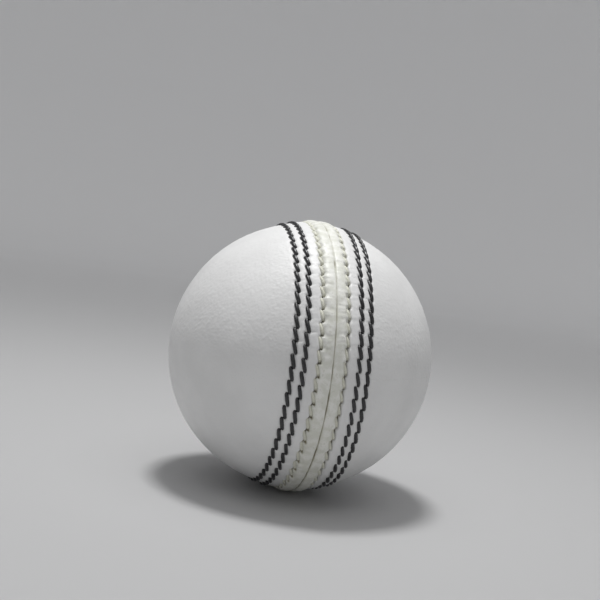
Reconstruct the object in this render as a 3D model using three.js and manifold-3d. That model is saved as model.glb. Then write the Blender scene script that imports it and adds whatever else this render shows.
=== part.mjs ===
// A match cricket ball: a wound cork-and-yarn core inside a four-quarter leather cover, closed by a raised,
// six-row stitched seam. Millimetres. The origin is the ball's centre and the seam lies in the YZ plane.
// +X is the seam's axis, from the left half to the right half.
// A latitude is an angle away from the seam plane.
import * as THREE from 'three';
import { mergeVertices } from 'three/addons/utils/BufferGeometryUtils.js';
import Module from 'manifold-3d';

const wasm = await Module();
wasm.setup();

const LEFT = new THREE.Vector3(-1, 0, 0);
const RIGHT = new THREE.Vector3(1, 0, 0);
const FRONT = new THREE.Vector3(0, -1, 0);
const BACK = new THREE.Vector3(0, 1, 0);
const UP = new THREE.Vector3(0, 0, 1);
const DOWN = new THREE.Vector3(0, 0, -1);

// ---- Driving dimensions ----
const COVER_RADIUS = 35.3; // the leather's sphere, away from the seam
const LEATHER_THICKNESS = 3.8;
const RAMP_START_LATITUDE = 22; // where the leather begins to climb towards the seam
const SHOULDER_RISE = 0.5; // how far it has climbed above the sphere where it meets the lip
const LIP_CROWN_RISE = 1.1; // the highest line of the seam, above the sphere
const LIP_FOOT_DEPTH = 1.6; // how deep in the cover the lip's foot stands
const GAP = 0.3; // clearance between two pieces that touch
const LINING_THICKNESS = 0.8;
const QUARTER_THREAD_RADIUS = 0.35; // the inside stitching that joins two quarters
const LINING_SLOT_HALF_WIDTH = 1.2; // left free beside the quarters' joint, for its stitching

// The six rows of stitching, from the left outer row to the right outer row.
const OUTER_ROW_LATITUDE = 15.5;
const MIDDLE_ROW_LATITUDE = 11.1;
const INNER_ROW_LATITUDE = 5.75;
const ROWS = [
  { name: 'row_1_left_outer', latitude: -OUTER_ROW_LATITUDE, stitches: 68, material: 'black' },
  { name: 'row_2_left_middle', latitude: -MIDDLE_ROW_LATITUDE, stitches: 69, material: 'black' },
  { name: 'row_3_left_inner', latitude: -INNER_ROW_LATITUDE, stitches: 67, material: 'cream' },
  { name: 'row_4_right_inner', latitude: INNER_ROW_LATITUDE, stitches: 67, material: 'cream' },
  { name: 'row_5_right_middle', latitude: MIDDLE_ROW_LATITUDE, stitches: 68, material: 'black' },
  { name: 'row_6_right_outer', latitude: OUTER_ROW_LATITUDE, stitches: 70, material: 'black' },
];
const THREAD_RADIUS = 0.55;
const THREAD_SUNK = 0.25; // depth of a thread's centre line below the leather beside it
const STITCH_SWAY = 0.22; // how far a stitch's ends lie to either side of its row
const STITCH_LIFT = 0.12; // how far a stitch's ends lie above and below the thread's mean height
const STITCH_STROKE = 0.72; // share of the pitch that the slanted stroke covers, before the thread returns

// The layers of the core, from the centre out, as outer radii. Yarn and cork alternate around the nucleus.
const NUCLEUS_RADIUS = 13.5;
const CORE_LAYERS = [
  { name: 'yarn_winding_1', outer: 17.0 },
  { name: 'cork_layer_1', outer: 19.4, halves: { left: LEFT, right: RIGHT } },
  { name: 'yarn_winding_2', outer: 22.8 },
  { name: 'cork_layer_2', outer: 25.2, halves: { front: FRONT, back: BACK } },
  { name: 'yarn_winding_3', outer: 30.0 },
];
const YARN_HOLE_RADIUS = 1.5;

// How finely round pieces are faceted.
const COVER_SEGMENTS = 36;
const LIP_SEGMENTS = 48;
const CORE_SEGMENTS = 16;

// ---- Derived dimensions ----
const LINING_OUTER = COVER_RADIUS - LEATHER_THICKNESS - GAP;
const LINING_INNER = LINING_OUTER - LINING_THICKNESS;
const LIP_SEAT_RADIUS = COVER_RADIUS - LIP_FOOT_DEPTH - GAP;
const GROOVE_HALF_WIDTH = THREAD_RADIUS + STITCH_SWAY + GAP;
const degrees = (millimetres) => THREE.MathUtils.radToDeg(millimetres / COVER_RADIUS);
const RIM_LATITUDE = degrees(GAP / 2); // where a half stops, just short of the seam plane
const LIP_OUTER_LATITUDE = INNER_ROW_LATITUDE - degrees(THREAD_RADIUS + STITCH_SWAY + GAP / 3);
const SHOULDER_LATITUDE = INNER_ROW_LATITUDE + degrees(GROOVE_HALF_WIDTH);

const materials = {
  cover: new THREE.MeshStandardMaterial({ color: 0xe9e9e6, roughness: 0.42 }),
  lip: new THREE.MeshStandardMaterial({ color: 0xdcddd0, roughness: 0.38 }),
  black: new THREE.MeshStandardMaterial({ color: 0x17181a, roughness: 0.55 }),
  cream: new THREE.MeshStandardMaterial({ color: 0xd6d4c0, roughness: 0.6 }),
  linen: new THREE.MeshStandardMaterial({ color: 0xcabf9d, roughness: 0.7 }),
  lining: new THREE.MeshStandardMaterial({ color: 0xc2a06f, roughness: 0.8 }),
  cork: new THREE.MeshStandardMaterial({ color: 0xb58a5a, roughness: 0.9 }),
  nucleus: new THREE.MeshStandardMaterial({ color: 0x8a5b39, roughness: 0.75 }),
  yarn: new THREE.MeshStandardMaterial({ color: 0xd8cba8, roughness: 0.9 }),
};

const ball = new THREE.Group();

// ---- Helpers ----
// A point of a turned profile: distance from the seam axis, then distance along it.
function polar(latitude, radius) {
  const angle = THREE.MathUtils.degToRad(latitude);
  const fromAxis = Math.abs(latitude) === 90 ? 0 : radius * Math.cos(angle);
  return new THREE.Vector2(fromAxis, radius * Math.sin(angle));
}

// Profile points along a circle about the centre, both ends included.
function arc(radius, from, to, steps) {
  return Array.from({ length: steps + 1 }, (_, i) => polar(from + ((to - from) * i) / steps, radius));
}

// Turns a profile about the X axis. A profile runs from the +X end along the outside, then back along the
// inside. Reversed, it gives a surface that faces outwards.
function turned(profile, segments) {
  return new THREE.LatheGeometry(profile.toReversed(), segments).rotateZ(-Math.PI / 2);
}

// A closed geometry as a manifold-3d solid.
function solidOf(geometry) {
  const bare = geometry.clone();
  bare.deleteAttribute('normal');
  bare.deleteAttribute('uv');
  const merged = mergeVertices(bare, 1e-3);
  const vertProperties = merged.getAttribute('position').array;
  return new wasm.Manifold(new wasm.Mesh({ numProp: 3, vertProperties, triVerts: merged.index.array }));
}

// A manifold-3d solid as a geometry.
function geometryOf(solid) {
  const { vertProperties, triVerts } = solid.getMesh();
  const geometry = new THREE.BufferGeometry();
  geometry.setAttribute('position', new THREE.BufferAttribute(vertProperties, 3));
  geometry.setIndex(new THREE.BufferAttribute(triVerts, 1));
  return geometry;
}

// The part of a solid that lies further than clearance from the centre, along one direction.
function beyond(solid, direction, clearance) {
  const size = 4 * COVER_RADIUS;
  const { x, y, z } = direction.clone().multiplyScalar(clearance + size / 2);
  return solid.intersect(solidOf(new THREE.BoxGeometry(size, size, size).translate(x, y, z)));
}

function add(name, geometry, material) {
  const mesh = new THREE.Mesh(geometry, material);
  mesh.name = name;
  ball.add(mesh);
}

// How far the leather stands above the sphere at a latitude: flat, then a straight climb to the shoulder.
function leatherRise(latitude) {
  const share = (RAMP_START_LATITUDE - Math.abs(latitude)) / (RAMP_START_LATITUDE - SHOULDER_LATITUDE);
  return SHOULDER_RISE * THREE.MathUtils.clamp(share, 0, 1);
}

// Height of a row's thread, as the radius of its mean centre line.
function threadHeight(latitude) {
  return COVER_RADIUS + leatherRise(latitude) - THREAD_SUNK;
}

// ---- Core: nucleus, yarn windings and cork layers ----
function sphere(radius) {
  return turned(arc(radius, 90, -90, CORE_SEGMENTS / 2), CORE_SEGMENTS);
}

function addCore() {
  add('core_nucleus', sphere(NUCLEUS_RADIUS), materials.nucleus);
  let inner = NUCLEUS_RADIUS + GAP;
  for (const { name, outer, halves } of CORE_LAYERS) {
    const shell = solidOf(sphere(outer)).subtract(solidOf(sphere(inner)));
    if (halves) addCorkHalves(name, shell, halves);
    else addWinding(name, shell, outer);
    inner = outer + GAP;
  }
}

// One continuous yarn, wound into a shell that stays open around the pole where its tail comes out.
function addWinding(name, shell, outer) {
  const hole = new THREE.CylinderGeometry(YARN_HOLE_RADIUS, YARN_HOLE_RADIUS, outer, 8);
  hole.rotateZ(Math.PI / 2).translate(-outer, 0, 0);
  add(name, geometryOf(shell.subtract(solidOf(hole))), materials.yarn);
}

// A cork layer is two cups. The second layer's joint is turned away from the first one's.
function addCorkHalves(name, shell, halves) {
  for (const [half, towards] of Object.entries(halves)) {
    add(`${name}_${half}`, geometryOf(beyond(shell, towards, GAP / 2)), materials.cork);
  }
}

// ---- Cover: each half is two leather quarters, sewn together from the inside ----
const HALVES = [
  { side: 'left', sign: -1, quarters: { front: FRONT, back: BACK } },
  { side: 'right', sign: 1, quarters: { upper: UP, lower: DOWN } },
];

// A groove for one row, as profile points from its far edge to its near edge.
function rowGroove(latitude) {
  const half = degrees(GROOVE_HALF_WIDTH);
  const floor = threadHeight(latitude) - THREAD_RADIUS - STITCH_LIFT - GAP;
  return [
    polar(latitude + half, COVER_RADIUS + leatherRise(latitude + half)),
    polar(latitude + half, floor),
    polar(latitude - half, floor),
    polar(latitude - half, COVER_RADIUS + leatherRise(latitude - half)),
  ];
}

// The section of one cover half, from its pole to its rim and back along the inside.
function coverSection() {
  const innerGrooveFloor = threadHeight(INNER_ROW_LATITUDE) - THREAD_RADIUS - STITCH_LIFT - GAP;
  const seatEdge = LIP_OUTER_LATITUDE + degrees(GAP);
  return [
    ...arc(COVER_RADIUS, 90, RAMP_START_LATITUDE, 7),
    ...rowGroove(OUTER_ROW_LATITUDE),
    ...rowGroove(MIDDLE_ROW_LATITUDE),
    polar(SHOULDER_LATITUDE, COVER_RADIUS + SHOULDER_RISE),
    polar(SHOULDER_LATITUDE, innerGrooveFloor),
    polar(seatEdge, innerGrooveFloor),
    polar(seatEdge, LIP_SEAT_RADIUS),
    polar(RIM_LATITUDE, LIP_SEAT_RADIUS),
    ...arc(COVER_RADIUS - LEATHER_THICKNESS, RIM_LATITUDE, 90, 8),
  ];
}

function liningSection() {
  const rim = 4 * RIM_LATITUDE;
  return [...arc(LINING_OUTER, 90, rim, 5), ...arc(LINING_INNER, rim, 90, 5)];
}

// The lip is the pared rim of the leather, drawn up between the two inner rows: a low, rounded ridge.
function lipSection() {
  const edge = LIP_OUTER_LATITUDE;
  const foot = COVER_RADIUS - LIP_FOOT_DEPTH;
  const crown = [
    { across: 1, rise: 0.3 },
    { across: 0.85, rise: 0.75 },
    { across: 0.6, rise: 1 },
    { across: 0.3, rise: 0.95 },
    { across: RIM_LATITUDE / edge, rise: 0.65 },
  ];
  return [
    polar(RIM_LATITUDE, foot),
    polar(edge, foot),
    ...crown.map(({ across, rise }) => polar(across * edge, COVER_RADIUS + rise * LIP_CROWN_RISE)),
    polar(RIM_LATITUDE, foot),
  ];
}

// The thread that joins two quarters runs along their joint on the inside, in the slot between the linings.
function quarterThread(alongJoint, sign) {
  const height = (LINING_OUTER + LINING_INNER) / 2;
  const steps = 18;
  const end = 6; // degrees between each end and the seam plane
  const points = Array.from({ length: steps + 1 }, (_, i) => {
    const angle = THREE.MathUtils.degToRad(end + ((180 - 2 * end) * i) / steps);
    const outwards = new THREE.Vector3(sign * Math.sin(angle), 0, 0);
    return outwards.addScaledVector(alongJoint, Math.cos(angle)).multiplyScalar(height);
  });
  const circle = new THREE.EllipseCurve(0, 0, QUARTER_THREAD_RADIUS, QUARTER_THREAD_RADIUS);
  const section = new THREE.Shape(circle.getPoints(6));
  return new THREE.ExtrudeGeometry(section, { steps, extrudePath: new THREE.CatmullRomCurve3(points) });
}

function addCover() {
  for (const { side, sign, quarters } of HALVES) {
    const facing = sign < 0 ? Math.PI : 0;
    const shell = solidOf(turned(coverSection(), COVER_SEGMENTS).rotateY(facing));
    const lining = solidOf(turned(liningSection(), COVER_SEGMENTS).rotateY(facing));
    for (const [quarter, towards] of Object.entries(quarters)) {
      const leather = beyond(shell, towards, GAP / 2);
      const patch = beyond(lining, towards, LINING_SLOT_HALF_WIDTH);
      add(`quarter_${side}_${quarter}`, geometryOf(leather), materials.cover);
      add(`lining_${side}_${quarter}`, geometryOf(patch), materials.lining);
    }
    const alongJoint = new THREE.Vector3().crossVectors(RIGHT, Object.values(quarters)[0]);
    add(`quarter_thread_${side}`, quarterThread(alongJoint, sign), materials.linen);
    add(`lip_${side}`, turned(lipSection(), LIP_SEGMENTS).rotateY(facing), materials.lip);
  }
}

// ---- Stitching: each row is one continuous thread, bent into slanted stitches ----
function addRow({ name, latitude, stitches, material }) {
  const sides = 4;
  const steps = 2 * stitches;
  const ring = new THREE.TorusGeometry(1, 1, sides, steps);
  const position = ring.getAttribute('position');
  const pitch = (2 * Math.PI) / stitches;
  const height = threadHeight(latitude);
  for (let step = 0; step <= steps; step++) {
    const leaving = step % 2 === 1; // a stroke ends here, and the thread returns under the leather
    const angle = (Math.floor(step / 2) + (leaving ? STITCH_STROKE : 0)) * pitch;
    const sway = leaving ? STITCH_SWAY : -STITCH_SWAY;
    const lift = leaving ? STITCH_LIFT : -STITCH_LIFT;
    const { x: fromAxis, y: along } = polar(latitude, height + lift);
    for (let side = 0; side <= sides; side++) {
      const turn = (2 * Math.PI * (side % sides)) / sides;
      const radius = fromAxis + THREAD_RADIUS * Math.cos(turn);
      const x = along + sway + THREAD_RADIUS * Math.sin(turn);
      position.setXYZ(side * (steps + 1) + step, x, radius * Math.cos(angle), radius * Math.sin(angle));
    }
  }
  add(name, ring, materials[material]);
}

addCore();
addCover();
ROWS.forEach(addRow);

export default ball;
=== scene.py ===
"""The looks of a white cricket ball around its CAD frame.

Shapes are worked out in millimetres and turned into metres when a mesh is made. The seam lies in the YZ
plane. A latitude is an angle away from that plane, positive towards +X. An azimuth is an angle around the
X axis, 0 at the front (-Y) and a quarter turn at the top (+Z). Angles are in radians, unless their name says
degrees. A sign is -1 on the left half of the ball and 1 on the right half.
"""

import math

import bmesh
import bpy
import numpy as np
from mathutils import Euler, Matrix, Vector


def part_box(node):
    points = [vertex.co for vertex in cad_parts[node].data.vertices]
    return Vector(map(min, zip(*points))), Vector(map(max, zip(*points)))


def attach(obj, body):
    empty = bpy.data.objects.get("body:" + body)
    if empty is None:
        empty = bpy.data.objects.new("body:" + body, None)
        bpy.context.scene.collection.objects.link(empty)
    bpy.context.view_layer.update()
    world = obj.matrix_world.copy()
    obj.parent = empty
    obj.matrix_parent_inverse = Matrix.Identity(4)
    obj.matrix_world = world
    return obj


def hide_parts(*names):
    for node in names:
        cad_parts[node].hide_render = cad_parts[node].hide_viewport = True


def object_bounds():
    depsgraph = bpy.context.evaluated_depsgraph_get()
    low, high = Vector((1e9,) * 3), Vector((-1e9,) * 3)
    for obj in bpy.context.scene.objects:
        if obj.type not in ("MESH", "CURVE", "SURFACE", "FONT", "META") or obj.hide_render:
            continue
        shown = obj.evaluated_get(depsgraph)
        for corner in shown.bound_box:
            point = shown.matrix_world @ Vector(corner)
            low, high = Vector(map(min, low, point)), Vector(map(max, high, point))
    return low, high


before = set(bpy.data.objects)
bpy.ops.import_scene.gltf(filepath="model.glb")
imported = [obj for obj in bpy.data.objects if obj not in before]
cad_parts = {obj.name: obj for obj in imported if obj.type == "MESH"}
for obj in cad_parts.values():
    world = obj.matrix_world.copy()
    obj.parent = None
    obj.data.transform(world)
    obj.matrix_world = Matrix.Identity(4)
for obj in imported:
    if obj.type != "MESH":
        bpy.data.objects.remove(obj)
cad_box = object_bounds()

# ---- Driving dimensions, in millimetres ----
MM = 0.001
COVER_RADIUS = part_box("quarter_right_upper")[1].x / MM  # the leather's sphere, away from the seam
LEATHER_THICKNESS = 3.8
SEAM_RISE = 0.5  # how far the leather climbs above its sphere beside the lips
SEAM_RISE_WIDTH = math.radians(9)
SEAM_STRAY = math.radians(0.5)  # how far the hand-sewn seam strays from true, once around the ball
RIGHT_STRAY = math.radians(0.8)  # how far the right half strays besides, twice around the ball
TOP_SPREAD = {-1: math.radians(0.6), 1: math.radians(0.5)}  # of the outer rows of each half, near one azimuth
TOP_SPREAD_AZIMUTH = {-1: math.radians(80), 1: math.radians(66)}
CREVICE_LATITUDE = math.radians(5.7)  # where the leather meets the lip, under the inner stitches
CREVICE_FOLLOW = {-1: 0.7, 1: 0.2}  # share of the inner stitches' slant that this edge follows
CREVICE_SHIFT = {-1: 0.0, 1: math.radians(0.25)}  # how much further out it lies on each side
CREVICE_HEIGHT = -0.25
LIP_CROWN = 1.12
LIP_CROWN_SHARE = 0.42  # where the crown lies, as a share of the way from the centre join to the crevice
JOIN_GAP = 0.015  # half the gap between the two lips
JOIN_DEPTH = 0.36
JOIN_WIDTH = 0.17
STITCH_HALF_LENGTH = 1.66  # from a stitch's middle to the middle of its hole
SPACING_SWAY = 0.1  # the stitches lie this share wider apart at one azimuth, and closer opposite it
WIDEST_AZIMUTH = math.radians(-80)
PLACE_SCATTER = 0.02  # of the stitches, as a share of the distance between two
SLANT_SCATTER = math.radians(1.2)
THICKNESS_SCATTER = 0.035


# ---- Noise that is the same on every run ----
def random_at(cells, seed):
    """A number from 0 to 1 for each row of whole-number cells, by hashing them."""
    x, y, z = (cells + 4096).astype(np.uint64).T
    mixed = (x * 73856093) ^ (y * 19349663) ^ (z * 83492791) ^ np.uint64(seed * 2654435761)
    mixed = (mixed ^ (mixed >> 13)) * np.uint64(1274126177)
    mixed = (mixed ^ (mixed >> 16)) * np.uint64(2246822519)
    return ((mixed ^ (mixed >> 15)) & 0xFFFFFF) / 0x1000000


CORNERS = np.array([(i, j, k) for i in (0, 1) for j in (0, 1) for k in (0, 1)])
NEIGHBOURS = np.array([(i, j, k) for i in (-1, 0, 1) for j in (-1, 0, 1) for k in (-1, 0, 1)])
NOISE_TURN = np.array(Euler((0.5, 0.7, 0.3)).to_matrix())  # keeps the noise from lining up with the axes


def bell(distance, width):
    return np.exp(-((distance / width) ** 2))


def lumps(points, size, seed):
    """Smooth noise from -1 to 1. size is the distance between lumps, for each axis or for all three."""
    if np.ndim(size) == 0:
        points = points @ NOISE_TURN
    scaled = points / size
    cell = np.floor(scaled)
    share = scaled - cell
    share = share * share * (3 - 2 * share)
    total = 0
    for corner in CORNERS:
        weight = np.where(corner, share, 1 - share).prod(axis=1)
        total = total + weight * random_at(cell + corner, seed)
    return 2 * total - 1


def layered_lumps(points, size, seed, layers=3):
    """Lumps with finer and weaker lumps on top of them."""
    return sum(lumps(points, size / 2**i, seed + i) / 2**i for i in range(layers))


def pebbles(points, size, seed):
    """Rounded pebbles with grooves between them, from 0 in a groove to about 1 on a crown."""
    scaled = points / size
    cell = np.floor(scaled)
    first = np.full(len(points), np.inf)  # distances to the nearest and the second nearest seat
    second = first.copy()
    for neighbour in NEIGHBOURS:
        there = cell + neighbour
        seat = there + np.stack([random_at(there, seed + axis) for axis in range(3)], axis=1)
        distance = np.linalg.norm(scaled - seat, axis=1)
        second = np.minimum(second, np.maximum(first, distance))
        first = np.minimum(first, distance)
    return 1 - bell(second - first, 0.35)


# ---- Places on the ball ----
def stray(latitude, azimuth):
    """How far the hand-sewn seam strays from true, as an angle to add. It fades towards the poles."""
    degrees = np.degrees(latitude)
    shift = SEAM_STRAY * bell(degrees - 2, 8) * np.sin(azimuth)
    shift = shift + RIGHT_STRAY * np.clip((degrees - 2) / 9, 0, 1) * np.sin(2 * azimuth)
    shift = shift + 0.5 * SEAM_STRAY * bell(degrees - 4, 4)
    for sign, spread_azimuth in TOP_SPREAD_AZIMUTH.items():
        outer = np.clip((sign * degrees - 5) / 8, 0, 1)
        near = (0.5 + 0.5 * np.cos(azimuth - spread_azimuth)) ** 16
        shift = shift - TOP_SPREAD[sign] * sign * outer * near
    return -shift * bell(latitude, math.radians(45))


def on_sphere(latitude, azimuth, radius):
    along, around = radius * np.sin(latitude), radius * np.cos(latitude)
    return np.stack(np.broadcast_arrays(along, -around * np.cos(azimuth), around * np.sin(azimuth)), axis=-1)


def place(latitude, azimuth, height):
    """Points at a height above the leather's sphere, once the seam has strayed."""
    return on_sphere(latitude + stray(latitude, azimuth), azimuth, COVER_RADIUS + height)


def wrapped(angle):
    """An angle brought to the range from minus half a turn to half a turn."""
    return (angle + math.pi) % (2 * math.pi) - math.pi


# ---- The six rows of stitches ----
STEP_SHARE = 0.36  # where the line of a stitch starts to step back, on the way to the next stitch


class Row:
    """One row of slanted stitches: where each one lies, and where its holes are."""

    def __init__(self, node, count, first_degrees, style, inwards_degrees=0):
        low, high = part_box(node)
        random = np.random.default_rng(count + len(node))
        self.node, self.count, self.style = node, count, style
        middle = math.atan2((low.x + high.x) / 2, high.z - style.radius * MM)
        self.latitude = middle - math.copysign(math.radians(inwards_degrees), middle)
        self.pitch = 2 * math.pi / count
        first = math.radians(first_degrees)
        even = first + np.arange(count) * self.pitch
        sway = np.sin(even - WIDEST_AZIMUTH) - math.sin(first - WIDEST_AZIMUTH)
        self.azimuth = even + SPACING_SWAY * sway + random.normal(0, PLACE_SCATTER, count) * self.pitch
        self.spacing = 1 + SPACING_SWAY * np.cos(even - WIDEST_AZIMUTH)
        self.slant = style.slant + random.normal(0, SLANT_SCATTER, count)
        self.half_length = STITCH_HALF_LENGTH * self.spacing
        self.thickness = 1 + random.normal(0, THICKNESS_SCATTER, count)
        self.pull = random.uniform(0, 1, count)  # how much each stitch creases the leather around its holes

    def centre(self, stitch, along):
        """Latitude and azimuth at a distance along a stitch from its middle, downwards at the front."""
        latitude = self.latitude + along * np.sin(self.slant[stitch]) / COVER_RADIUS
        turn = along * np.cos(self.slant[stitch]) / (COVER_RADIUS * math.cos(self.latitude))
        return latitude, self.azimuth[stitch] - turn

    def number_at(self, azimuth, azimuths):
        """Where each azimuth lies in a rising round of azimuths, as a number of stitches and a part."""
        turns = (azimuth - azimuths[0]) % (2 * math.pi)
        round_trip = np.append(azimuths - azimuths[0], 2 * math.pi)
        return np.interp(turns, round_trip, np.arange(self.count + 1))

    def line_at(self, azimuth):
        """Latitude of the thread's slanted line, which steps back between two stitches."""
        part = self.number_at(azimuth, self.azimuth) % 1
        part = np.interp(part, (0, STEP_SHARE, 1 - STEP_SHARE, 1), (0, STEP_SHARE, -STEP_SHARE, 0))
        pitch = self.pitch * math.cos(self.latitude)
        return self.latitude - part * pitch * math.tan(self.style.slant)

    def holes_near(self, latitude, azimuth):
        """The end and pull of each hole near a point, and the offsets from it across and along the row. At
        the front the end is 1 for a stitch's lower hole and -1 for its upper one."""
        nearest = np.rint(self.number_at(azimuth, self.azimuth)).astype(int)
        for step in (-1, 0, 1):
            stitch = (nearest + step) % self.count
            for end in (-1, 1):
                hole_latitude, hole_azimuth = self.centre(stitch, end * self.half_length[stitch])
                across = (latitude - hole_latitude) * COVER_RADIUS
                along = wrapped(azimuth - hole_azimuth) * COVER_RADIUS * np.cos(latitude)
                yield end, self.pull[stitch], across, along

    def share_to_next_hole(self, azimuth, end):
        """From 0 just past a hole at one end of a stitch to 1 at the next such hole."""
        holes = self.centre(np.arange(self.count), end * self.half_length)[1]
        number = self.number_at(azimuth, holes)
        return (-end * number) % 1


class StitchStyle:
    """A thread's radius and slant, how high its crest stands above the leather, the furrow that it presses,
    and how strong the pits around its holes are."""

    def __init__(self, material, radius, slant_degrees, crest, furrow_depth, furrow_width, pit):
        self.material, self.radius, self.crest, self.pit = material, radius, crest, pit
        self.slant = math.radians(slant_degrees)
        self.furrow_depth, self.furrow_width = furrow_depth, furrow_width


OUTER_STITCH = StitchStyle(
    "black_thread", radius=0.5, slant_degrees=15.5, crest=0.5, furrow_depth=0.22, furrow_width=0.5, pit=1.0
)
INNER_STITCH = StitchStyle(
    "cream_thread", radius=0.42, slant_degrees=17.0, crest=0.26, furrow_depth=0.3, furrow_width=0.4, pit=0.35
)
ROWS = [  # node, number of stitches, azimuth of the first one in degrees, and style
    Row("row_1_left_outer", 68, -6.6, OUTER_STITCH),
    Row("row_2_left_middle", 69, -7.9, OUTER_STITCH),
    Row("row_3_left_inner", 67, -3.9, INNER_STITCH),
    Row("row_4_right_inner", 67, -7.6, INNER_STITCH, inwards_degrees=0.45),
    Row("row_5_right_middle", 68, -5.9, OUTER_STITCH),
    Row("row_6_right_outer", 70, -5.4, OUTER_STITCH),
]
INNER_ROWS = {-1: ROWS[2], 1: ROWS[3]}


def crevice_shift(sign, azimuth):
    """How much further out than its mean the crevice lies, as it follows the stitches."""
    row = INNER_ROWS[sign]
    return CREVICE_SHIFT[sign] + CREVICE_FOLLOW[sign] * sign * (row.line_at(azimuth) - row.latitude)


NOTCH_LENGTH = 1.5  # how far a notch runs up beside its stitch
LOWER_END = 1


def notches(sign, latitude, azimuth):
    """How deep each point lies, from 0 to 1, in the notches at the lower ends of the inner stitches. They are
    pointed below, and run up along the leather's side. On the right the upper ends have a weak mark too."""
    row = INNER_ROWS[sign]
    cosine, sine = math.cos(row.style.slant), math.sin(row.style.slant)
    depth = np.zeros(len(latitude))
    for end, pull, across, along in row.holes_near(latitude, azimuth):
        if end == LOWER_END:
            before = along * cosine - across * sine
            beside = sign * (across * cosine + along * sine)
            middle = 0.02 + 0.36 * np.clip(before / 0.9, 0, 1)
            half_width = 0.12 + 0.17 * bell(before - 0.25, 0.4)
            fading = np.where(before > 0, np.clip(1 - before / NOTCH_LENGTH, 0, 1), bell(before, 0.25))
            depth = np.maximum(depth, fading * bell(beside - middle, half_width))
        elif sign > 0:
            depth = np.maximum(depth, 0.45 * pull * bell(np.hypot(across, along), 0.28))
    return depth


def notch_shade_at(azimuth):
    """How dark the notches are painted, as painted shade: least at the top of the ball, where the light falls
    into them.
    """
    return 0.88 - 0.62 * np.sin(azimuth)


def leather_rise(latitude):
    """How far the leather climbs towards the seam, before the stitches pull it down."""
    return SEAM_RISE * bell(np.abs(latitude) - math.radians(5.5), SEAM_RISE_WIDTH)


# ---- The leather's surface ----
PIT_DEPTH = 0.25  # of the dent around a hole
PIT_RADIUS = 0.42
PLEAT_DEPTH = 0.14  # of the creases that some stitches pull in the leather
EDGE_DEPTH = 0.4  # how far the leather turns down into the crevice
LEATHER_NOTCH_DEPTH = 0.4
WRINKLE_DEPTH = 0.045  # near the seam
WRINKLE_SIZE = np.array([3.2, 1.1, 1.1])
PEBBLE_DEPTH = 0.038
PEBBLE_SIZE = 0.9
JOINT_DEPTH = 0.02  # of the rounding beside the joint of two quarters
JOINT_WIDTH = 0.2


def stitch_marks(row, latitude, azimuth):
    """How far a row of stitches presses the leather down, and how deep in its pits each point lies."""
    across_row = (latitude - row.latitude) * COVER_RADIUS
    across_thread = (latitude - row.line_at(azimuth)) * COVER_RADIUS
    furrow = row.style.furrow_depth * bell(across_thread, row.style.furrow_width)
    pit = np.zeros(len(latitude))
    pleat = np.zeros(len(latitude))
    for end, pull, across, along in row.holes_near(latitude, azimuth):
        pit = np.maximum(pit, bell(np.hypot(across, along), PIT_RADIUS))
        outwards = np.maximum(end * across, 0)
        pleat = np.maximum(pleat, pull**2 * bell(along - 0.1 * across, 0.26) * bell(outwards - 0.9, 1.0))
    pit = pit * row.style.pit
    inwards = -np.sign(row.latitude) * across_row
    pleat = pleat * bell(across_row, 3.0) * np.clip(0.3 + inwards, 0, 1)
    return furrow + PIT_DEPTH * pit + PLEAT_DEPTH * pleat, pit


def leather_surface(sign, latitude, azimuth, from_crevice, joint_distance):
    """Height above the sphere, and how dark each point is painted, from 0 to 1: painted shade in the pits
    around the holes and in the notches.
    """
    spot = place(latitude, azimuth, 0)
    height = leather_rise(latitude)
    painted_shade = np.zeros(len(latitude))
    for row in ROWS:
        if np.sign(row.latitude) == sign:
            drop, pit = stitch_marks(row, latitude, azimuth)
            height -= drop
            # The pits around the holes are painted darker, as painted shade.
            painted_shade = np.maximum(painted_shade, pit)
    notch = notches(sign, latitude, azimuth)
    height -= EDGE_DEPTH * bell(from_crevice, 0.2) + LEATHER_NOTCH_DEPTH * notch
    # The notches are painted darker too, as painted shade.
    painted_shade = np.maximum(painted_shade, notch_shade_at(azimuth) * notch)
    near_seam = bell(np.maximum(np.abs(latitude) - math.radians(10), 0), math.radians(3))
    height += near_seam * WRINKLE_DEPTH * layered_lumps(spot, WRINKLE_SIZE, 11)
    height += 0.04 * lumps(spot, 11.0, 21) + 0.02 * lumps(spot, 4.0, 22)
    grain = 0.022 * lumps(spot, 0.7, 23) + PEBBLE_DEPTH * (pebbles(spot, PEBBLE_SIZE, 31) - 0.6)
    height += (1 - 0.5 * near_seam) * grain
    height -= JOINT_DEPTH * bell(joint_distance, JOINT_WIDTH)
    return height, painted_shade


# ---- Meshes ----
NEAR_POLE = math.radians(85)  # the last ring of a face that needs no detail


def count_of(groups):
    return sum(map(len, groups))


def rings_below_pole(radius, lowest, columns, turn, step_at):
    """Latitude and column stride of each ring, from near the pole down to the lowest latitude. step_at gives
    the distance between two rings, and the strides keep the steps along a ring about as long."""
    rings = []
    latitude, stride = lowest, 1
    while latitude < math.pi / 2 - 0.4 * step_at(latitude) / radius:
        across = radius * math.cos(latitude) * turn / columns * stride
        if 2 * across < 1.2 * step_at(latitude) and columns // stride % 2 == 0:
            stride *= 2
        rings.append((latitude, stride))
        latitude += step_at(latitude) / radius
    return rings[::-1]


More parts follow.
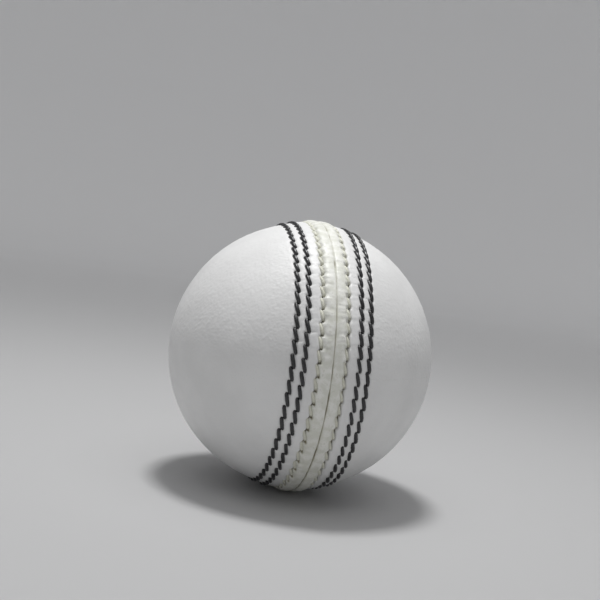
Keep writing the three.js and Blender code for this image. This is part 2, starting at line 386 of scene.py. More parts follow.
def faces_between(rings, wrap):
    """Faces that join each ring of vertex numbers to the next, with as many steps, half, twice or none."""
    faces = []
    for ring, other in zip(rings, rings[1:]):
        if wrap:
            ring, other = [list(r) + [r[0]] if len(r) > 1 else r for r in (ring, other)]
        steps, other_steps = len(ring) - 1, len(other) - 1
        if other_steps == 0:
            faces += [(ring[i], ring[i + 1], other[0]) for i in range(steps)]
        elif steps == 0:
            faces += [(ring[0], other[i + 1], other[i]) for i in range(other_steps)]
        elif steps == other_steps:
            faces += [(ring[i], ring[i + 1], other[i + 1], other[i]) for i in range(steps)]
        elif steps == 2 * other_steps:
            faces += [(*ring[2 * i : 2 * i + 3], other[i + 1], other[i]) for i in range(other_steps)]
        else:
            faces += [(ring[i], ring[i + 1], *other[2 * i : 2 * i + 3][::-1]) for i in range(steps)]
    return faces


def add_piece(name, replaced, points, faces, material, attributes=None, flat_faces=0, sharp_degrees=180):
    """A smooth mesh from points in millimetres. The last flat_faces faces stay flat, and edges bent by more
    than sharp_degrees stay sharp."""
    mesh = bpy.data.meshes.new(name)
    mesh.from_pydata((points * MM).tolist(), [], faces)
    shape = bmesh.new()
    shape.from_mesh(mesh)
    bmesh.ops.recalc_face_normals(shape, faces=shape.faces)
    shape.to_mesh(mesh)
    shape.free()
    smooth = np.ones(len(mesh.polygons), bool)
    if flat_faces:
        smooth[-flat_faces:] = False
    mesh.polygons.foreach_set("use_smooth", smooth)
    if sharp_degrees < 180:
        mesh.set_sharp_from_angle(angle=math.radians(sharp_degrees))
    for key, values in (attributes or {}).items():
        kind, field = ("FLOAT", "value") if values.ndim == 1 else ("FLOAT_VECTOR", "vector")
        layer = mesh.attributes.new(key, kind, "POINT")
        layer.data.foreach_set(field, values.astype(np.float32).ravel())
    mesh.materials.append(MATERIALS[material])
    piece = bpy.data.objects.new(name, mesh)
    bpy.context.scene.collection.objects.link(piece)
    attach(piece, "root")
    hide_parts(*replaced)


# ---- Leather quarters ----
COLUMNS = 640  # steps of a quarter's finest ring
FINE_STEP = 0.17  # between two rings, up to the fine latitude
COARSE_STEP = 0.26
FINE_LATITUDE = math.radians(17)
WALL_STEPS = 4  # down the leather's edge, each with half the columns of the last
INSIDE_RINGS = 13
JOINT_MARGIN = math.radians(0.004)  # from the joint to the edge of a quarter
JOINT_COLUMNS = 10  # this many columns beside a joint are closer together


def quarter_columns(middle):
    """Azimuths over half a turn, closer together beside the joints at both ends."""
    edge = np.minimum(np.arange(COLUMNS), np.arange(COLUMNS)[::-1])
    width = 1 - 0.8 * bell(edge, JOINT_COLUMNS)
    share = np.concatenate([[0], np.cumsum(width)]) / width.sum()
    return middle - math.pi / 2 + JOINT_MARGIN + share * (math.pi - 2 * JOINT_MARGIN)


def quarter_step(latitude):
    return FINE_STEP if latitude < FINE_LATITUDE else COARSE_STEP


def build_quarter(node, sign, middle):
    """A leather quarter. middle is the azimuth of its middle."""
    columns = quarter_columns(middle)
    inside = CREVICE_HEIGHT - LEATHER_THICKNESS
    points, painted_shades, rings = [], [], []

    def add_ring(latitude, stride, height=None):
        azimuth = columns[::stride]
        from_crevice = (latitude - CREVICE_LATITUDE) * COVER_RADIUS
        latitudes = sign * (latitude + crevice_shift(sign, azimuth) * bell(from_crevice, 1.2))
        painted_shade = np.zeros(len(azimuth))
        if height is None:
            joint = COVER_RADIUS * np.cos(latitudes) * np.abs(np.cos(azimuth - middle))
            height, painted_shade = leather_surface(sign, latitudes, azimuth, from_crevice, joint)
        first = count_of(points)
        points.append(place(latitudes, azimuth, height))
        painted_shades.append(painted_shade)
        rings.append(range(first, first + len(azimuth)))

    def add_pole(height):
        rings.append([count_of(points)])
        points.append(place(np.array([sign * math.pi / 2]), 0, height))
        painted_shades.append(np.zeros(1))

    add_pole(0)
    for latitude, stride in rings_below_pole(COVER_RADIUS, CREVICE_LATITUDE, COLUMNS, math.pi, quarter_step):
        add_ring(latitude, stride)
    for step in range(1, WALL_STEPS + 1):
        add_ring(CREVICE_LATITUDE, 2**step, CREVICE_HEIGHT - LEATHER_THICKNESS * step / WALL_STEPS)
    for latitude in np.linspace(CREVICE_LATITUDE, NEAR_POLE, INSIDE_RINGS + 1)[1:]:
        add_ring(latitude, 2**WALL_STEPS, inside)
    add_pole(inside)
    sides = [tuple(ring[end] for ring in rings) for end in (0, -1)]
    faces = faces_between(rings, wrap=False) + sides
    attributes = {"painted_shade": np.concatenate(painted_shades)}
    points = np.concatenate(points)
    add_piece("leather_" + node, [node], points, faces, "white_leather", attributes, flat_faces=2)


# ---- Seam lips ----
LIP_COLUMNS = 1340
LIP_STEPS = 30
LIP_FOOT = -1.5  # height of the lip's underside
LIP_EDGE = 0.995  # the outermost share of the way to the crevice
SCALLOP_DEPTH = {-1: 0.1, 1: 0.12}  # how far the edge draws in beside each stitch, as a share of the lip
SCALLOP_PEAK = 0.8  # where it draws in most, as a share of the way from hole to hole
LIP_NOTCH_DEPTH = 0.75
PINCH_DEPTH = 0.1  # of the dents that the stitches' holes pull in the lip
LIP_FURROW = {-1: 0.15, 1: 0.42}  # depth of the furrow that an inner stitch presses into the lip
LIP_LUMPS = np.array([3.0, 1.0, 1.0])


def lip_profile(share):
    """Height of the lip above the leather's sphere, from the centre join (0) to the crevice (1)."""
    outward = np.clip((share - LIP_CROWN_SHARE) / (1 - LIP_CROWN_SHARE), 0, 1)
    inward = np.clip((LIP_CROWN_SHARE - share) / LIP_CROWN_SHARE, 0, 1)
    fall = (LIP_CROWN - CREVICE_HEIGHT) * (1 - (1 - outward**2.8) ** 0.6)
    return LIP_CROWN - fall - 0.12 * inward**2


def lip_latitude(sign, share, azimuth):
    return sign * share * (CREVICE_LATITUDE + crevice_shift(sign, azimuth))


def lip_surface(sign, share, azimuth):
    """Latitude and height of each point, and how much painted shade darkens it, from 0 to 1."""
    latitude = lip_latitude(sign, share, azimuth)
    spot = place(latitude, azimuth, 0)
    row = INNER_ROWS[sign]
    past_hole = row.share_to_next_hole(azimuth, -sign)
    rising = (past_hole / SCALLOP_PEAK) ** 1.7
    falling = 1 - ((past_hole - SCALLOP_PEAK) / (1 - SCALLOP_PEAK)) ** 2
    scallop = np.where(past_hole < SCALLOP_PEAK, rising, falling)
    outer = np.clip((share - 0.5) / 0.5, 0, 1) ** 2
    height = lip_profile(np.clip(share + SCALLOP_DEPTH[sign] * scallop * outer, 0, 1))
    from_join = share * CREVICE_LATITUDE * COVER_RADIUS
    join = bell(from_join, JOIN_WIDTH) * (0.8 + 0.5 * lumps(spot, 2.2, 40))
    height -= JOIN_DEPTH * join
    notch = notches(sign, latitude, azimuth)
    pinch = np.zeros(len(share))
    for end, pull, across, along in row.holes_near(latitude, azimuth):
        if end == -sign:
            pinch = np.maximum(pinch, (0.25 + pull) * bell(along, 0.4) * share**0.5)
    across_thread = (latitude - row.line_at(azimuth)) * COVER_RADIUS
    height -= LIP_NOTCH_DEPTH * notch + PINCH_DEPTH * pinch + LIP_FURROW[sign] * bell(across_thread, 0.42)
    height += 0.13 * lumps(spot, 2.6, 41) + 0.08 * layered_lumps(spot, LIP_LUMPS, 42) * (0.4 + share)
    height += 0.02 * lumps(spot, 0.5, 45)
    # Painted shade where the lip lies low.
    sunk = np.clip((0.2 - height) / 0.5, 0, 1)
    # Painted shade, darker towards the bottom of the ball.
    lower_shade = 0.28 * np.clip(0.5 - np.sin(azimuth), 0, 1)
    # The groove of the centre join and the notches are painted darker too, as painted shade.
    painted_shade = np.clip(np.maximum(0.7 * sunk, 0.6 * join) + lower_shade + notch_shade_at(azimuth) * notch, 0, 1)
    return latitude, height, painted_shade


def build_lip(node, sign):
    azimuth = np.arange(LIP_COLUMNS) * 2 * math.pi / LIP_COLUMNS
    inner_edge = JOIN_GAP / COVER_RADIUS / CREVICE_LATITUDE
    shares = inner_edge + (LIP_EDGE - inner_edge) * (1 - np.cos(np.linspace(0, math.pi, LIP_STEPS))) / 2
    points, painted_shades, rings = [], [], []

    def add_ring(latitude, height, painted_shade):
        rings.append(range(len(rings) * LIP_COLUMNS, (len(rings) + 1) * LIP_COLUMNS))
        points.append(place(latitude, azimuth, height))
        painted_shades.append(painted_shade)

    for share in shares:
        add_ring(*lip_surface(sign, np.full(LIP_COLUMNS, share), azimuth))
    # The two rings of the underside are painted fully dark, as painted shade.
    for share in (shares[-1], shares[0]):
        add_ring(lip_latitude(sign, share, azimuth), LIP_FOOT, np.ones(LIP_COLUMNS))
    faces = faces_between(rings + rings[:1], wrap=True)
    attributes = {"painted_shade": np.concatenate(painted_shades)}
    add_piece("raised_" + node, [node], np.concatenate(points), faces, "lip_leather", attributes)


# ---- Twisted strands ----
TWIST_LENGTH = 3.4
PLIES = 3  # of a sewing thread


def normalised(vectors):
    return vectors / np.linalg.norm(vectors, axis=-1, keepdims=True)


def travel_along(path):
    """The distance along a path to each of its points."""
    steps = np.linalg.norm(np.diff(path, axis=0), axis=1)
    return np.concatenate([[0], np.cumsum(steps)])


def twisted_strand(path, travel, radius, sides, plies=1, groove=0.0, number=0, one_side=False):
    """Points, faces and strand attribute of a strand along a path around the ball's centre. Its number says
    how far it is turned about itself. With one_side, its side faces the same way from end to end."""
    tangent = normalised(np.gradient(path, axis=0))
    side = normalised(np.cross(tangent, path))
    if one_side:
        side = np.broadcast_to(side[len(path) // 2], path.shape)
    up = np.cross(side, tangent)
    around = np.arange(sides) * 2 * math.pi / sides
    turn = around - 2 * math.pi * travel[:, None] / TWIST_LENGTH + 2.4 * number
    ply = radius * (1 - groove * (1 - np.abs(np.cos(turn * plies / 2))))
    rim = np.cos(around)[:, None] * side[:, None] + np.sin(around)[:, None] * up[:, None]
    points = (path[:, None] + ply[..., None] * rim).reshape(-1, 3)
    rings = [range(start, start + sides) for start in range(0, len(points), sides)]
    faces = faces_between(rings, wrap=True) + [tuple(rings[0]), tuple(rings[-1])]
    lengthwise = 0.25 * travel[:, None] + 3.7 * number + 0 * turn
    strand = np.stack([np.cos(turn), np.sin(turn), lengthwise], axis=-1)
    return points, faces, strand.reshape(-1, 3)


def joined(parts):
    """Points, faces and strand attribute of several parts, as one mesh."""
    points, faces, strands = [], [], []
    for part_points, part_faces, strand in parts:
        first = count_of(points)
        faces += [tuple(first + corner for corner in face) for face in part_faces]
        points.append(part_points)
        strands.append(strand)
    return np.concatenate(points), faces, np.concatenate(strands)


# ---- Stitches ----
THREAD_SIDES = 22
PLY_GROOVE = 0.07
ARCH_RADIUS = 3.6  # of the long stretch of a stitch
ARCH_HALF = 1.16  # half the length of that stretch
BEND_RADIUS = 0.4  # of the bend where a stitch dives into its hole
DIVE_ANGLE = math.radians(74)
TAIL = 0.5  # what is left of a stitch below the bend
END_TAPER = 0.06  # how much thinner a stitch is at both ends
EARLY_DIVE = 0.3  # how much sooner an inner stitch dives at its lower end
UPPER_TAPER = 0.36  # how much thinner an inner stitch is drawn at its upper end


def arc_points(start, angle, radius, turn, steps):
    """Points along an arc that goes on from a point, at an angle below the level."""
    out, height = start
    found = []
    for part in np.linspace(0, turn, steps + 1)[1:]:
        there_out = out + radius * (math.sin(angle + part) - math.sin(angle))
        there_height = height + radius * (math.cos(angle + part) - math.cos(angle))
        found.append((there_out, there_height))
    return found


def half_stitch(arch_length):
    """Half of a stitch's centre line: distances outwards from its middle, and heights from its crest."""
    arch_turn = arch_length / ARCH_RADIUS
    half = [(0.0, 0.0)]
    half += arc_points(half[-1], 0, ARCH_RADIUS, arch_turn, 5)
    half += arc_points(half[-1], arch_turn, BEND_RADIUS, DIVE_ANGLE - arch_turn, 6)
    out, height = half[-1]
    half.append((out + TAIL * math.cos(DIVE_ANGLE), height - TAIL * math.sin(DIVE_ANGLE)))
    return np.array(half)


def stitch_line(early_dive):
    """A whole stitch's centre line, from its upper to its lower end."""
    upper, lower = half_stitch(ARCH_HALF), half_stitch(ARCH_HALF - early_dive)
    return np.concatenate([upper[:0:-1] * (-1, 1), lower])


def build_row(row):
    inner = row.style is INNER_STITCH
    line = stitch_line(EARLY_DIVE if inner else 0)
    travel = travel_along(line)
    out, height = line.T
    share = out / np.abs(out).max()
    taper = 1 - END_TAPER * np.abs(share) ** 3
    if inner:
        taper = taper - UPPER_TAPER * np.clip(-share, 0, 1) ** 1.5
    level = leather_rise(row.latitude) + row.style.crest - row.style.radius
    stitches = []
    for number in range(row.count):
        latitude, azimuth = row.centre(number, out * row.spacing[number])
        path = place(latitude, azimuth, level + height + 0.04 * (row.pull[number] - 0.5))
        radius = row.style.radius * row.thickness[number] * taper[:, None]
        stitches.append(twisted_strand(path, travel, radius, THREAD_SIDES, PLIES, PLY_GROOVE, number, True))
    points, faces, strand = joined(stitches)
    buried = inner * (0.16 + 0.84 * np.clip((out - 0.7) / 0.6, 0, 1))  # how deep in its notch a stitch lies
    # Painted shade on the part of an inner stitch that lies down in its notch, least at the top of the ball.
    notch_shade = np.clip(notch_shade_at(row.azimuth)[:, None] * np.repeat(buried, THREAD_SIDES), 0, 1)
    attributes = {"strand": strand, "notch_shade": notch_shade.ravel()}
    add_piece("stitches_" + row.node, [row.node], points, faces, row.style.material, attributes)


# ---- Core: nucleus and cork layers ----
CLEARANCE = 0.3  # between two pieces that touch in the real ball
CORK_THICKNESS = 2.1
CORK_COLUMNS = 256
CORK_STEP = 0.6
GRANULE = 2.3
RIM_DEGREES = 50  # a bend sharper than this stays sharp


def outer_radius(node):
    """The outer radius of a round CAD node."""
    low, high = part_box(node)
    return max(-low.x, high.x, -low.y, high.y) / MM


def granules(points):
    """Relief of cork granules pressed flat against each other."""
    return 0.14 * (pebbles(points, GRANULE, 61) - 1) + 0.04 * lumps(points, 0.8, 64)


def turned_surface(axis, profile, columns, relief):
    """Points and faces turned about an axis, from rings of latitude, radius and stride that start and end at
    a pole. relief gives the height to add at each point."""
    axis = np.array(axis, float)
    first_side = np.roll(axis, 1)
    second_side = np.cross(axis, first_side)
    points, rings = [], []
    for latitude, radius, stride in profile:
        pole = abs(latitude) == math.pi / 2
        turn = np.zeros(1) if pole else np.arange(0, columns, stride) * 2 * math.pi / columns
        level = 0 if pole else math.cos(latitude)
        outwards = np.cos(turn)[:, None] * first_side + np.sin(turn)[:, None] * second_side
        unit = level * outwards + math.sin(latitude) * axis
        first = count_of(points)
        rings.append(range(first, first + len(turn)))
        points.append(unit * (radius + relief(unit * radius))[:, None])
    return np.concatenate(points), faces_between(rings, wrap=True)


def cap(radius, lowest):
    """Rings of a cork surface, from its pole down to a latitude."""
    rings = rings_below_pole(radius, lowest, CORK_COLUMNS, 2 * math.pi, lambda latitude: CORK_STEP)
    return [(math.pi / 2, radius, 1)] + [(latitude, radius, stride) for latitude, stride in rings]


def build_nucleus(node):
    upper = cap(outer_radius(node), 0)
    lower = [(-latitude, radius, stride) for latitude, radius, stride in upper[:-1]]
    points, faces = turned_surface((1, 0, 0), upper + lower[::-1], CORK_COLUMNS, granules)
    add_piece("moulded_" + node, [node], points, faces, "cork_rubber")


def build_cork_half(node, axis):
    """A half shell of cork. axis points to its pole."""
    outer = outer_radius(node)
    inner = outer - CORK_THICKNESS
    rim = CLEARANCE / 2
    profile = cap(outer, rim / outer) + cap(inner, rim / inner)[::-1]
    points, faces = turned_surface(axis, profile, CORK_COLUMNS, granules)
    add_piece("pressed_" + node, [node], points, faces, "cork", sharp_degrees=RIM_DEGREES)


# ---- Core: yarn windings ----
YARN_RADIUS = 0.75
YARN_SIDES = 7
YARN_STEP = 2.6
YARN_BANDS = 5  # each crosses the ones before it in a new direction
BAND_LIFT = 0.3  # how much further out each band lies than the one before
BAND_TILT = math.radians(20)  # how near the turns of a band pass to its poles
BAND_SWAY = 0.3  # how much further in some turns lie
TURNS_PER_RADIUS = 0.55  # turns of a band for each millimetre of radius
MOUTH_RADIUS = 1.5  # of the opening where the yarn's tail is tucked in
SHELL_COLUMNS = 96
SHELL_RINGS = 40


def winding_band(pole, radius, turns, random):
    """The path of a band: great circles near its poles, each a little further round than the last."""
    steps = int(2 * math.pi * radius / YARN_STEP) * turns
    angle = np.arange(steps) * 2 * math.pi * turns / steps
    pole = normalised(pole)
    first_side = normalised(np.cross(pole, np.roll(pole, 1)))
    second_side = np.cross(pole, first_side)
    drift = (angle / turns / 2 + random.uniform(0, math.pi))[:, None]
    level = np.cos(drift) * first_side + np.sin(drift) * second_side
    across = np.cos(drift) * second_side - np.sin(drift) * first_side
    climb = math.cos(BAND_TILT) * pole + math.sin(BAND_TILT) * across
    path = np.cos(angle)[:, None] * level + np.sin(angle)[:, None] * climb
    mouth = (MOUTH_RADIUS + YARN_RADIUS) / radius
    from_mouth = np.arccos(np.clip(-path[:, 0], -1, 1))
    parted = np.minimum(np.hypot(from_mouth, mouth * bell(from_mouth, 5 * mouth)), math.pi)
    sideways = path[:, 1:] * (np.sin(parted) / np.maximum(np.sin(from_mouth), 1e-6))[:, None]
    sway = np.interp(angle, np.arange(turns + 1) * 2 * math.pi, random.uniform(-BAND_SWAY, 0, turns + 1))
    return np.column_stack([-np.cos(parted), sideways]) * (radius + sway)[:, None]


def no_relief(points):
    return np.zeros(len(points))


def shell_rings(radius):
    """Rings of a shell under the yarn, from its right pole to its mouth."""
    mouth = MOUTH_RADIUS / radius - math.pi / 2
    latitudes = np.linspace(NEAR_POLE, mouth, SHELL_RINGS)
    return [(math.pi / 2, radius, 1)] + [(latitude, radius, 1) for latitude in latitudes]


def build_winding(node, inner):
    """A shell under bands of yarn. inner is the shell's inner radius."""
    outer = outer_radius(node)
    random = np.random.default_rng(int(outer))
    shell = outer - YARN_RADIUS - BAND_LIFT * YARN_BANDS / 2
    profile = shell_rings(shell) + shell_rings(inner)[::-1]
    points, faces = turned_surface((1, 0, 0), profile, SHELL_COLUMNS, no_relief)
    parts = [(points, faces, points)]
    for band in range(YARN_BANDS):
        radius = outer - YARN_RADIUS - BAND_LIFT * (YARN_BANDS - 1 - band)
        path = winding_band(random.normal(0, 1, 3), radius, int(TURNS_PER_RADIUS * outer), random)
        parts.append(twisted_strand(path, travel_along(path), YARN_RADIUS, YARN_SIDES))
    points, faces, strand = joined(parts)
    add_piece("wound_" + node, [node], points, faces, "wool_yarn", {"strand": strand})


# ---- Linings, and the stitching that joins two quarters ----
LINING_THICKNESS = 0.8
LINING_SLOT = 1.2  # from the quarters' joint to the edge of each lining
LINING_ROWS = 70
LINING_COLUMNS = 110
CRINKLE = 0.05


def build_lining(node, sign, middle):
    """A patch of suede behind a quarter. middle is the azimuth of its middle."""
    low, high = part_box(node)
    outer = outer_radius(node)
    lowest = min(abs(low.x), abs(high.x)) / MM / outer
    highest = math.acos(1.05 * LINING_SLOT / outer)
    latitude = np.linspace(lowest, highest, LINING_ROWS)[:, None]
    edge = math.pi / 2 - np.arcsin(LINING_SLOT / (outer * np.cos(latitude)))
    azimuth = middle + edge * np.linspace(-1, 1, LINING_COLUMNS)
    rows, columns = azimuth.shape
    sheets = []
    for radius in (outer, outer - LINING_THICKNESS):
        spots = on_sphere(sign * latitude, azimuth, radius).reshape(-1, 3)
        crinkle = CRINKLE * layered_lumps(spots, 3.5, 81) - 1.2 * CRINKLE
        sheets.append(spots * (1 + crinkle / radius)[:, None])
    numbers = np.arange(2 * rows * columns).reshape(2, rows, columns)
    faces = []
    for sheet in numbers:
        faces += faces_between(sheet.tolist(), wrap=False)
    rims = [[*n[0, :-1], *n[:-1, -1], *n[-1, :0:-1], *n[:0:-1, 0]] for n in numbers.astype(object)]
    faces += faces_between(rims, wrap=True)
    points = np.concatenate(sheets)
    add_piece("suede_" + node, [node], points, faces, "lining_leather", sharp_degrees=RIM_DEGREES)


QUARTER_THREAD_RADIUS = 0.32
QUARTER_THREAD_SIDES = 12
QUARTER_THREAD_STEP = 0.3
QUARTER_STITCH = 3.0  # from one crossing of the joint to the next
QUARTER_STITCH_HALF_WIDTH = 0.3
QUARTER_STITCH_LIFT = 0.08


def build_quarter_thread(node, sign, level):
    """A thread that zigzags along a joint, over the pole. level is the joint's direction at the seam."""
    low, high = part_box(node)
    near, far = sorted((abs(low.x) / MM, abs(high.x) / MM))
    radius = QUARTER_THREAD_RADIUS
    centre = far - radius
    first = math.asin((near + radius) / centre)
    arc = np.arange(first, math.pi - first, QUARTER_THREAD_STEP / centre)
    wave = math.pi * arc * centre / QUARTER_STITCH
    level = np.array(level, float)
    sideways = np.cross((1, 0, 0), level)
    height = centre + QUARTER_STITCH_LIFT * np.cos(2 * wave)
    path = height[:, None] * (np.sin(arc)[:, None] * (sign, 0, 0) + np.cos(arc)[:, None] * level)
    path = path + (QUARTER_STITCH_HALF_WIDTH * np.sin(wave))[:, None] * sideways
    points, faces, strand = twisted_strand(path, travel_along(path), radius, QUARTER_THREAD_SIDES, PLIES, 0.1)
    add_piece("stitched_" + node, [node], points, faces, "linen_thread", {"strand": strand})


# ---- Materials ----
class Nodes:
    """A new material, with short ways to add and link its nodes."""

    def __init__(self, name):
        self.material = bpy.data.materials.new(name)
        self.material.use_nodes = True
        self.tree = self.material.node_tree
        self.shader = self.tree.nodes["Principled BSDF"]

    def add(self, kind, properties=None, **inputs):
        """A node with some inputs set to values or linked to sockets. An underscore in a name is a space."""
        node = self.tree.nodes.new("ShaderNode" + kind)
        for key, value in (properties or {}).items():
            setattr(node, key, value)
        for key, value in inputs.items():
            self.put(node.inputs[key.replace("_", " ")], value)
        return node

    def put(self, socket, value):
        if isinstance(value, bpy.types.NodeSocket):
            self.tree.links.new(value, socket)
        else:
            socket.default_value = value

    def maths(self, operation, first, second):
        node = self.add("Math", {"operation": operation})
        self.put(node.inputs[0], first)
        self.put(node.inputs[1], second)
        return node.outputs[0]

    def ramp(self, value, low, high, to_low=0.0, to_high=1.0):
        """A smooth step from to_low to to_high."""
        node = self.add("MapRange", {"interpolation_type": "SMOOTHSTEP"}, Value=value)
        for key, number in zip(("From Min", "From Max", "To Min", "To Max"), (low, high, to_low, to_high)):
            node.inputs[key].default_value = number
        return node.outputs[0]

    def blend(self, share, first, second):
        node = self.add("Mix", {"data_type": "RGBA"})
        self.put(node.inputs[0], share)
        self.put(node.inputs[6], first)
        self.put(node.inputs[7], second)
        return node.outputs[2]

    def millimetres(self):
        """The place on the object, in millimetres."""
        node = self.add("VectorMath", {"operation": "SCALE"})
        self.put(node.inputs[0], self.add("TexCoord").outputs["Object"])
        node.inputs["Scale"].default_value = 1 / MM
        return node.outputs[0]

    def attribute(self, name, output="Fac"):
        return self.add("Attribute", {"attribute_name": name}).outputs[output]

    def noise(self, vector, size, detail=3.0):
        return self.add("TexNoise", Vector=vector, Scale=1 / size, Detail=detail).outputs["Fac"]

    def cells(self, vector, size, feature):
        node = self.add("TexVoronoi", {"feature": feature}, Vector=vector, Scale=1 / size)
        return node.outputs["Distance"]

    def bump(self, height, distance, strength=1.0, normal=None):
        node = self.add("Bump", Height=height, Distance=distance * MM, Strength=strength)
        if normal is not None:
            self.put(node.inputs["Normal"], normal)
        return node.outputs["Normal"]

    def finish(self, **inputs):
        for key, value in inputs.items():
            self.put(self.shader.inputs[key.replace("_", " ")], value)
        return self.material


def white_leather():
    n = Nodes("white_leather")
    spot = n.millimetres()
    painted_shade = n.attribute("painted_shade")
    clouds = n.ramp(n.noise(spot, 14.0), 0.35, 0.65)
    base = n.blend(clouds, (0.78, 0.78, 0.775, 1), (0.83, 0.83, 0.825, 1))
    pores = n.ramp(n.cells(spot, 0.6, "F1"), 0.0, 0.3, 0.25, 0.0)
    base = n.blend(pores, base, (0.6, 0.6, 0.58, 1))
    # Painted shade: pits and notches are darkened towards a brownish grey.
    base = n.blend(n.ramp(painted_shade, 0.3, 1.0, 0.0, 0.5), base, (0.3, 0.29, 0.24, 1))
    grain = n.cells(spot, 0.55, "SMOOTH_F1")
    fine = n.noise(spot, 0.16, 4.0)
    normal = n.bump(fine, 0.012, 0.6, n.bump(grain, 0.05, 0.5))
    polish = n.ramp(n.noise(spot, 3.0), 0.3, 0.7, 0.44, 0.54)
    roughness = n.maths("ADD", polish, n.maths("MULTIPLY", painted_shade, 0.2))
    return n.finish(
        Base_Color=base,
        Roughness=roughness,
        Normal=normal,
        Specular_IOR_Level=0.4,
        Coat_Weight=0.05,
        Coat_Roughness=0.35,
    )


def lip_leather():
    n = Nodes("lip_leather")
    spot = n.millimetres()
    painted_shade = n.attribute("painted_shade")
    clouds = n.ramp(n.noise(spot, 1.8), 0.38, 0.62)
    base = n.blend(clouds, (0.76, 0.765, 0.695, 1), (0.875, 0.875, 0.83, 1))
    stains = n.ramp(n.noise(spot, 0.9, 2.0), 0.56, 0.72, 0.0, 0.3)
    base = n.blend(stains, base, (0.48, 0.49, 0.38, 1))
    # Painted shade: sunken places, notches, the join's groove and the lower side are darkened to a dark
    # olive.
    base = n.blend(n.ramp(painted_shade, 0.1, 1.0, 0.0, 0.9), base, (0.22, 0.19, 0.09, 1))
    fibre = n.noise(spot, 0.25, 5.0)
    normal = n.bump(fibre, 0.03, 0.6)
    roughness = n.ramp(n.noise(spot, 1.2), 0.3, 0.7, 0.4, 0.54)
    return n.finish(
        Base_Color=base,
        Roughness=roughness,
        Normal=normal,
        Specular_IOR_Level=0.4,
        Coat_Weight=0.08,
        Coat_Roughness=0.35,
    )


def thread(name, dark, light, roughness, specular, sheen, wax=0.0):
    """Twisted fibres in two shades, with noise that runs along the thread."""
    n = Nodes(name)
    strand = n.attribute("strand", "Vector")
    fibres = n.noise(strand, 0.16, 4.0)
    wear = n.ramp(n.noise(strand, 2.2, 1.0), 0.35, 0.7)
    base = n.blend(n.ramp(fibres, 0.35, 0.75), dark, light)
    base = n.blend(n.maths("MULTIPLY", wear, 0.4), base, light)
    # Painted shade where a stitch lies down in its notch.
    base = n.blend(n.attribute("notch_shade"), base, (0.14, 0.12, 0.06, 1))
    normal = n.bump(fibres, 0.05, 0.7)
    shine = n.ramp(fibres, 0.3, 0.7, roughness - 0.05, roughness + 0.1)
    return n.finish(
        Base_Color=base,
        Roughness=shine,
        Normal=normal,
        Specular_IOR_Level=specular,
        Sheen_Weight=sheen,
        Sheen_Roughness=0.4,
        Coat_Weight=wax,
        Coat_Roughness=0.24,
    )


CORK_CELL = 1.4


def pressed_cork(name, dark, light, roughness):
    """Cork granules, each in its own shade, with dark gaps between them."""
    n = Nodes(name)
    spot = n.millimetres()
    cells = n.add("TexVoronoi", Vector=spot, Scale=1 / CORK_CELL)
    shade = n.add("SeparateColor", Color=cells.outputs["Color"]).outputs[0]
    base = n.blend(n.ramp(shade, 0.0, 1.0), dark, light)
    gaps = n.ramp(n.cells(spot, CORK_CELL, "DISTANCE_TO_EDGE"), 0.0, 0.12, 0.7, 0.0)
    base = n.blend(gaps, base, tuple(0.35 * part for part in dark[:3]) + (1,))
    specks = n.noise(spot, 0.4, 4.0)
    base = n.blend(n.ramp(specks, 0.55, 0.75, 0.0, 0.5), base, dark)
    normal = n.bump(specks, 0.06, 0.7, n.bump(gaps, -0.08, 0.6))
    dull = n.ramp(specks, 0.3, 0.7, roughness, roughness + 0.15)
    return n.finish(Base_Color=base, Roughness=dull, Normal=normal)


def lining_leather():
    n = Nodes("lining_leather")
    spot = n.millimetres()
    clouds = n.ramp(n.noise(spot, 9.0), 0.35, 0.65)
    base = n.blend(clouds, (0.6, 0.44, 0.28, 1), (0.74, 0.58, 0.4, 1))
    nap = n.noise(spot, 0.3, 5.0)
    base = n.blend(n.ramp(nap, 0.4, 0.7, 0.0, 0.35), base, (0.45, 0.31, 0.18, 1))
    return n.finish(
        Base_Color=base,
        Roughness=n.ramp(nap, 0.3, 0.7, 0.75, 0.92),
        Normal=n.bump(nap, 0.05, 0.8),
        Sheen_Weight=0.25,
        Sheen_Roughness=0.5,
    )


MATERIALS = {
    "white_leather": white_leather(),
    "lip_leather": lip_leather(),
    "black_thread": thread(
        "black_thread", (0.002, 0.002, 0.003, 1), (0.008, 0.008, 0.01, 1), 0.38, 0.6, 0.0, wax=0.4
    ),
    "cream_thread": thread("cream_thread", (0.7, 0.7, 0.59, 1), (0.88, 0.88, 0.79, 1), 0.52, 0.4, 0.1),
    "linen_thread": thread("linen_thread", (0.6, 0.53, 0.38, 1), (0.78, 0.72, 0.58, 1), 0.6, 0.4, 0.2),
    "wool_yarn": thread("wool_yarn", (0.62, 0.55, 0.42, 1), (0.84, 0.78, 0.66, 1), 0.8, 0.3, 0.4),
    "lining_leather": lining_leather(),
    "cork": pressed_cork("cork", (0.4, 0.25, 0.13, 1), (0.72, 0.53, 0.33, 1), 0.7),
    "cork_rubber": pressed_cork("cork_rubber", (0.2, 0.1, 0.055, 1), (0.5, 0.32, 0.2, 1), 0.6),
}


# ---- The stage, the lights and the camera ----
FLOOR_RADIUS = 900  # of the flat part
BEND_TO_WALL = 500
WALL_HEIGHT = 900
FLOOR_COLUMNS = 96


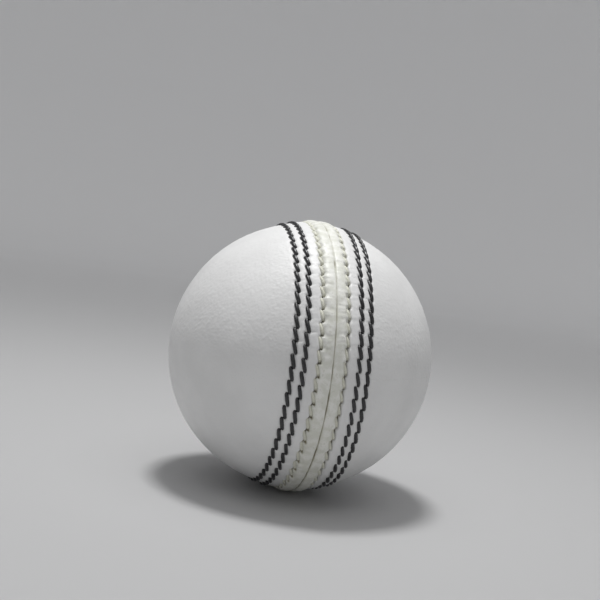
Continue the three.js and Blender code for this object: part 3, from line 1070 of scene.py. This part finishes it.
def build_stage():
    """A pale floor that rises in a wide bowl around the ball."""
    level = cad_box[0][2] / MM
    profile = [(0, 0), (FLOOR_RADIUS / 2, 0), (FLOOR_RADIUS, 0)]
    for angle in np.radians(np.arange(10, 91, 10)):
        profile.append((FLOOR_RADIUS + BEND_TO_WALL * math.sin(angle), BEND_TO_WALL * (1 - math.cos(angle))))
    profile.append((FLOOR_RADIUS + BEND_TO_WALL, BEND_TO_WALL + WALL_HEIGHT))
    mesh = bpy.data.meshes.new("floor")
    angles = np.arange(FLOOR_COLUMNS) * 2 * math.pi / FLOOR_COLUMNS
    starts = range(1, 1 + (len(profile) - 1) * FLOOR_COLUMNS, FLOOR_COLUMNS)
    rings = [[0]] + [range(start, start + FLOOR_COLUMNS) for start in starts]
    points = [(0, 0, level)]
    for radius, height in profile[1:]:
        points += [(radius * math.cos(a), radius * math.sin(a), level + height) for a in angles]
    mesh.from_pydata((np.array(points) * MM).tolist(), [], faces_between(rings, wrap=True))
    mesh.polygons.foreach_set("use_smooth", np.ones(len(mesh.polygons), bool))
    floor = bpy.data.objects.new("floor", mesh)
    bpy.context.scene.collection.objects.link(floor)
    n = Nodes("floor_paper")
    distance = n.add("VectorMath", {"operation": "LENGTH"})
    n.put(distance.inputs[0], n.millimetres())
    # The paper is painted darker near the ball and brighter far away, painted light that evens out how the
    # lamps fall off.
    far = n.ramp(distance.outputs["Value"], 200, 1200)
    paper = n.blend(far, (0.5, 0.5, 0.503, 1), (0.9, 0.9, 0.905, 1))
    mesh.materials.append(n.finish(Base_Color=paper, Roughness=0.8))


def add_area_light(name, location, size, energy):
    """A round lamp that faces the ball."""
    light = bpy.data.lights.new(name, "AREA")
    light.shape = "DISK"
    light.size = size
    light.energy = energy
    lamp = bpy.data.objects.new(name, light)
    lamp.location = location
    lamp.rotation_euler = Vector(location).to_track_quat("Z", "Y").to_euler()
    bpy.context.scene.collection.objects.link(lamp)


def build_lights():
    add_area_light("overhead_key", (-0.025, 0.02, 0.46), size=0.09, energy=1.45)
    add_area_light("ceiling", (0, -0.2, 1.35), size=1.8, energy=6.0)
    world = bpy.data.worlds.new("studio")
    world.use_nodes = True
    sky = world.node_tree.nodes["Background"].inputs
    sky["Color"].default_value = (0.97, 0.98, 1.0, 1)
    sky["Strength"].default_value = 0.15
    bpy.context.scene.world = world
    bpy.context.scene.view_settings.view_transform = "Standard"


VIEW_AZIMUTH_DEGREES = -13.2
VIEW_ELEVATION_DEGREES = 6.7
VIEW_ROLL_DEGREES = 8.0
VIEW_LIFT_DEGREES = 3.0  # the camera looks this far above the ball
VIEW_DISTANCE = 8.0  # from the ball's centre, in radii of its leather
LENS = 62.5


def build_camera():
    data = bpy.data.cameras.new("camera")
    data.lens = LENS
    data.clip_start = 0.01
    camera = bpy.data.objects.new("camera", data)
    turn = Matrix.Rotation(math.radians(VIEW_AZIMUTH_DEGREES), 4, "Z")
    tilt = Matrix.Rotation(math.radians(90 - VIEW_ELEVATION_DEGREES), 4, "X")
    roll = Matrix.Rotation(math.radians(VIEW_ROLL_DEGREES), 4, "Z")
    back = Matrix.Translation((0, 0, VIEW_DISTANCE * COVER_RADIUS * MM))
    lift = Matrix.Rotation(math.radians(VIEW_LIFT_DEGREES), 4, "X")
    camera.matrix_world = turn @ tilt @ roll @ back @ lift
    bpy.context.scene.collection.objects.link(camera)
    bpy.context.scene.camera = camera


# ---- The ball ----
QUARTERS = (  # name, sign and middle azimuth of each quarter, and of the lining behind it
    ("left_front", -1, 0),
    ("left_back", -1, math.pi),
    ("right_upper", 1, math.pi / 2),
    ("right_lower", 1, -math.pi / 2),
)

build_lip("lip_left", -1)
build_lip("lip_right", 1)
for name, sign, middle in QUARTERS:
    build_quarter("quarter_" + name, sign, middle)
for row in ROWS:
    build_row(row)
build_nucleus("core_nucleus")
build_winding("yarn_winding_1", outer_radius("core_nucleus") + CLEARANCE)
build_cork_half("cork_layer_1_left", (-1, 0, 0))
build_cork_half("cork_layer_1_right", (1, 0, 0))
build_winding("yarn_winding_2", outer_radius("cork_layer_1_right") + CLEARANCE)
build_cork_half("cork_layer_2_front", (0, -1, 0))
build_cork_half("cork_layer_2_back", (0, 1, 0))
build_winding("yarn_winding_3", outer_radius("cork_layer_2_back") + CLEARANCE)
for name, sign, middle in QUARTERS:
    build_lining("lining_" + name, sign, middle)
build_quarter_thread("quarter_thread_left", -1, (0, 0, 1))
build_quarter_thread("quarter_thread_right", 1, (0, 1, 0))
build_stage()
build_lights()
build_camera()
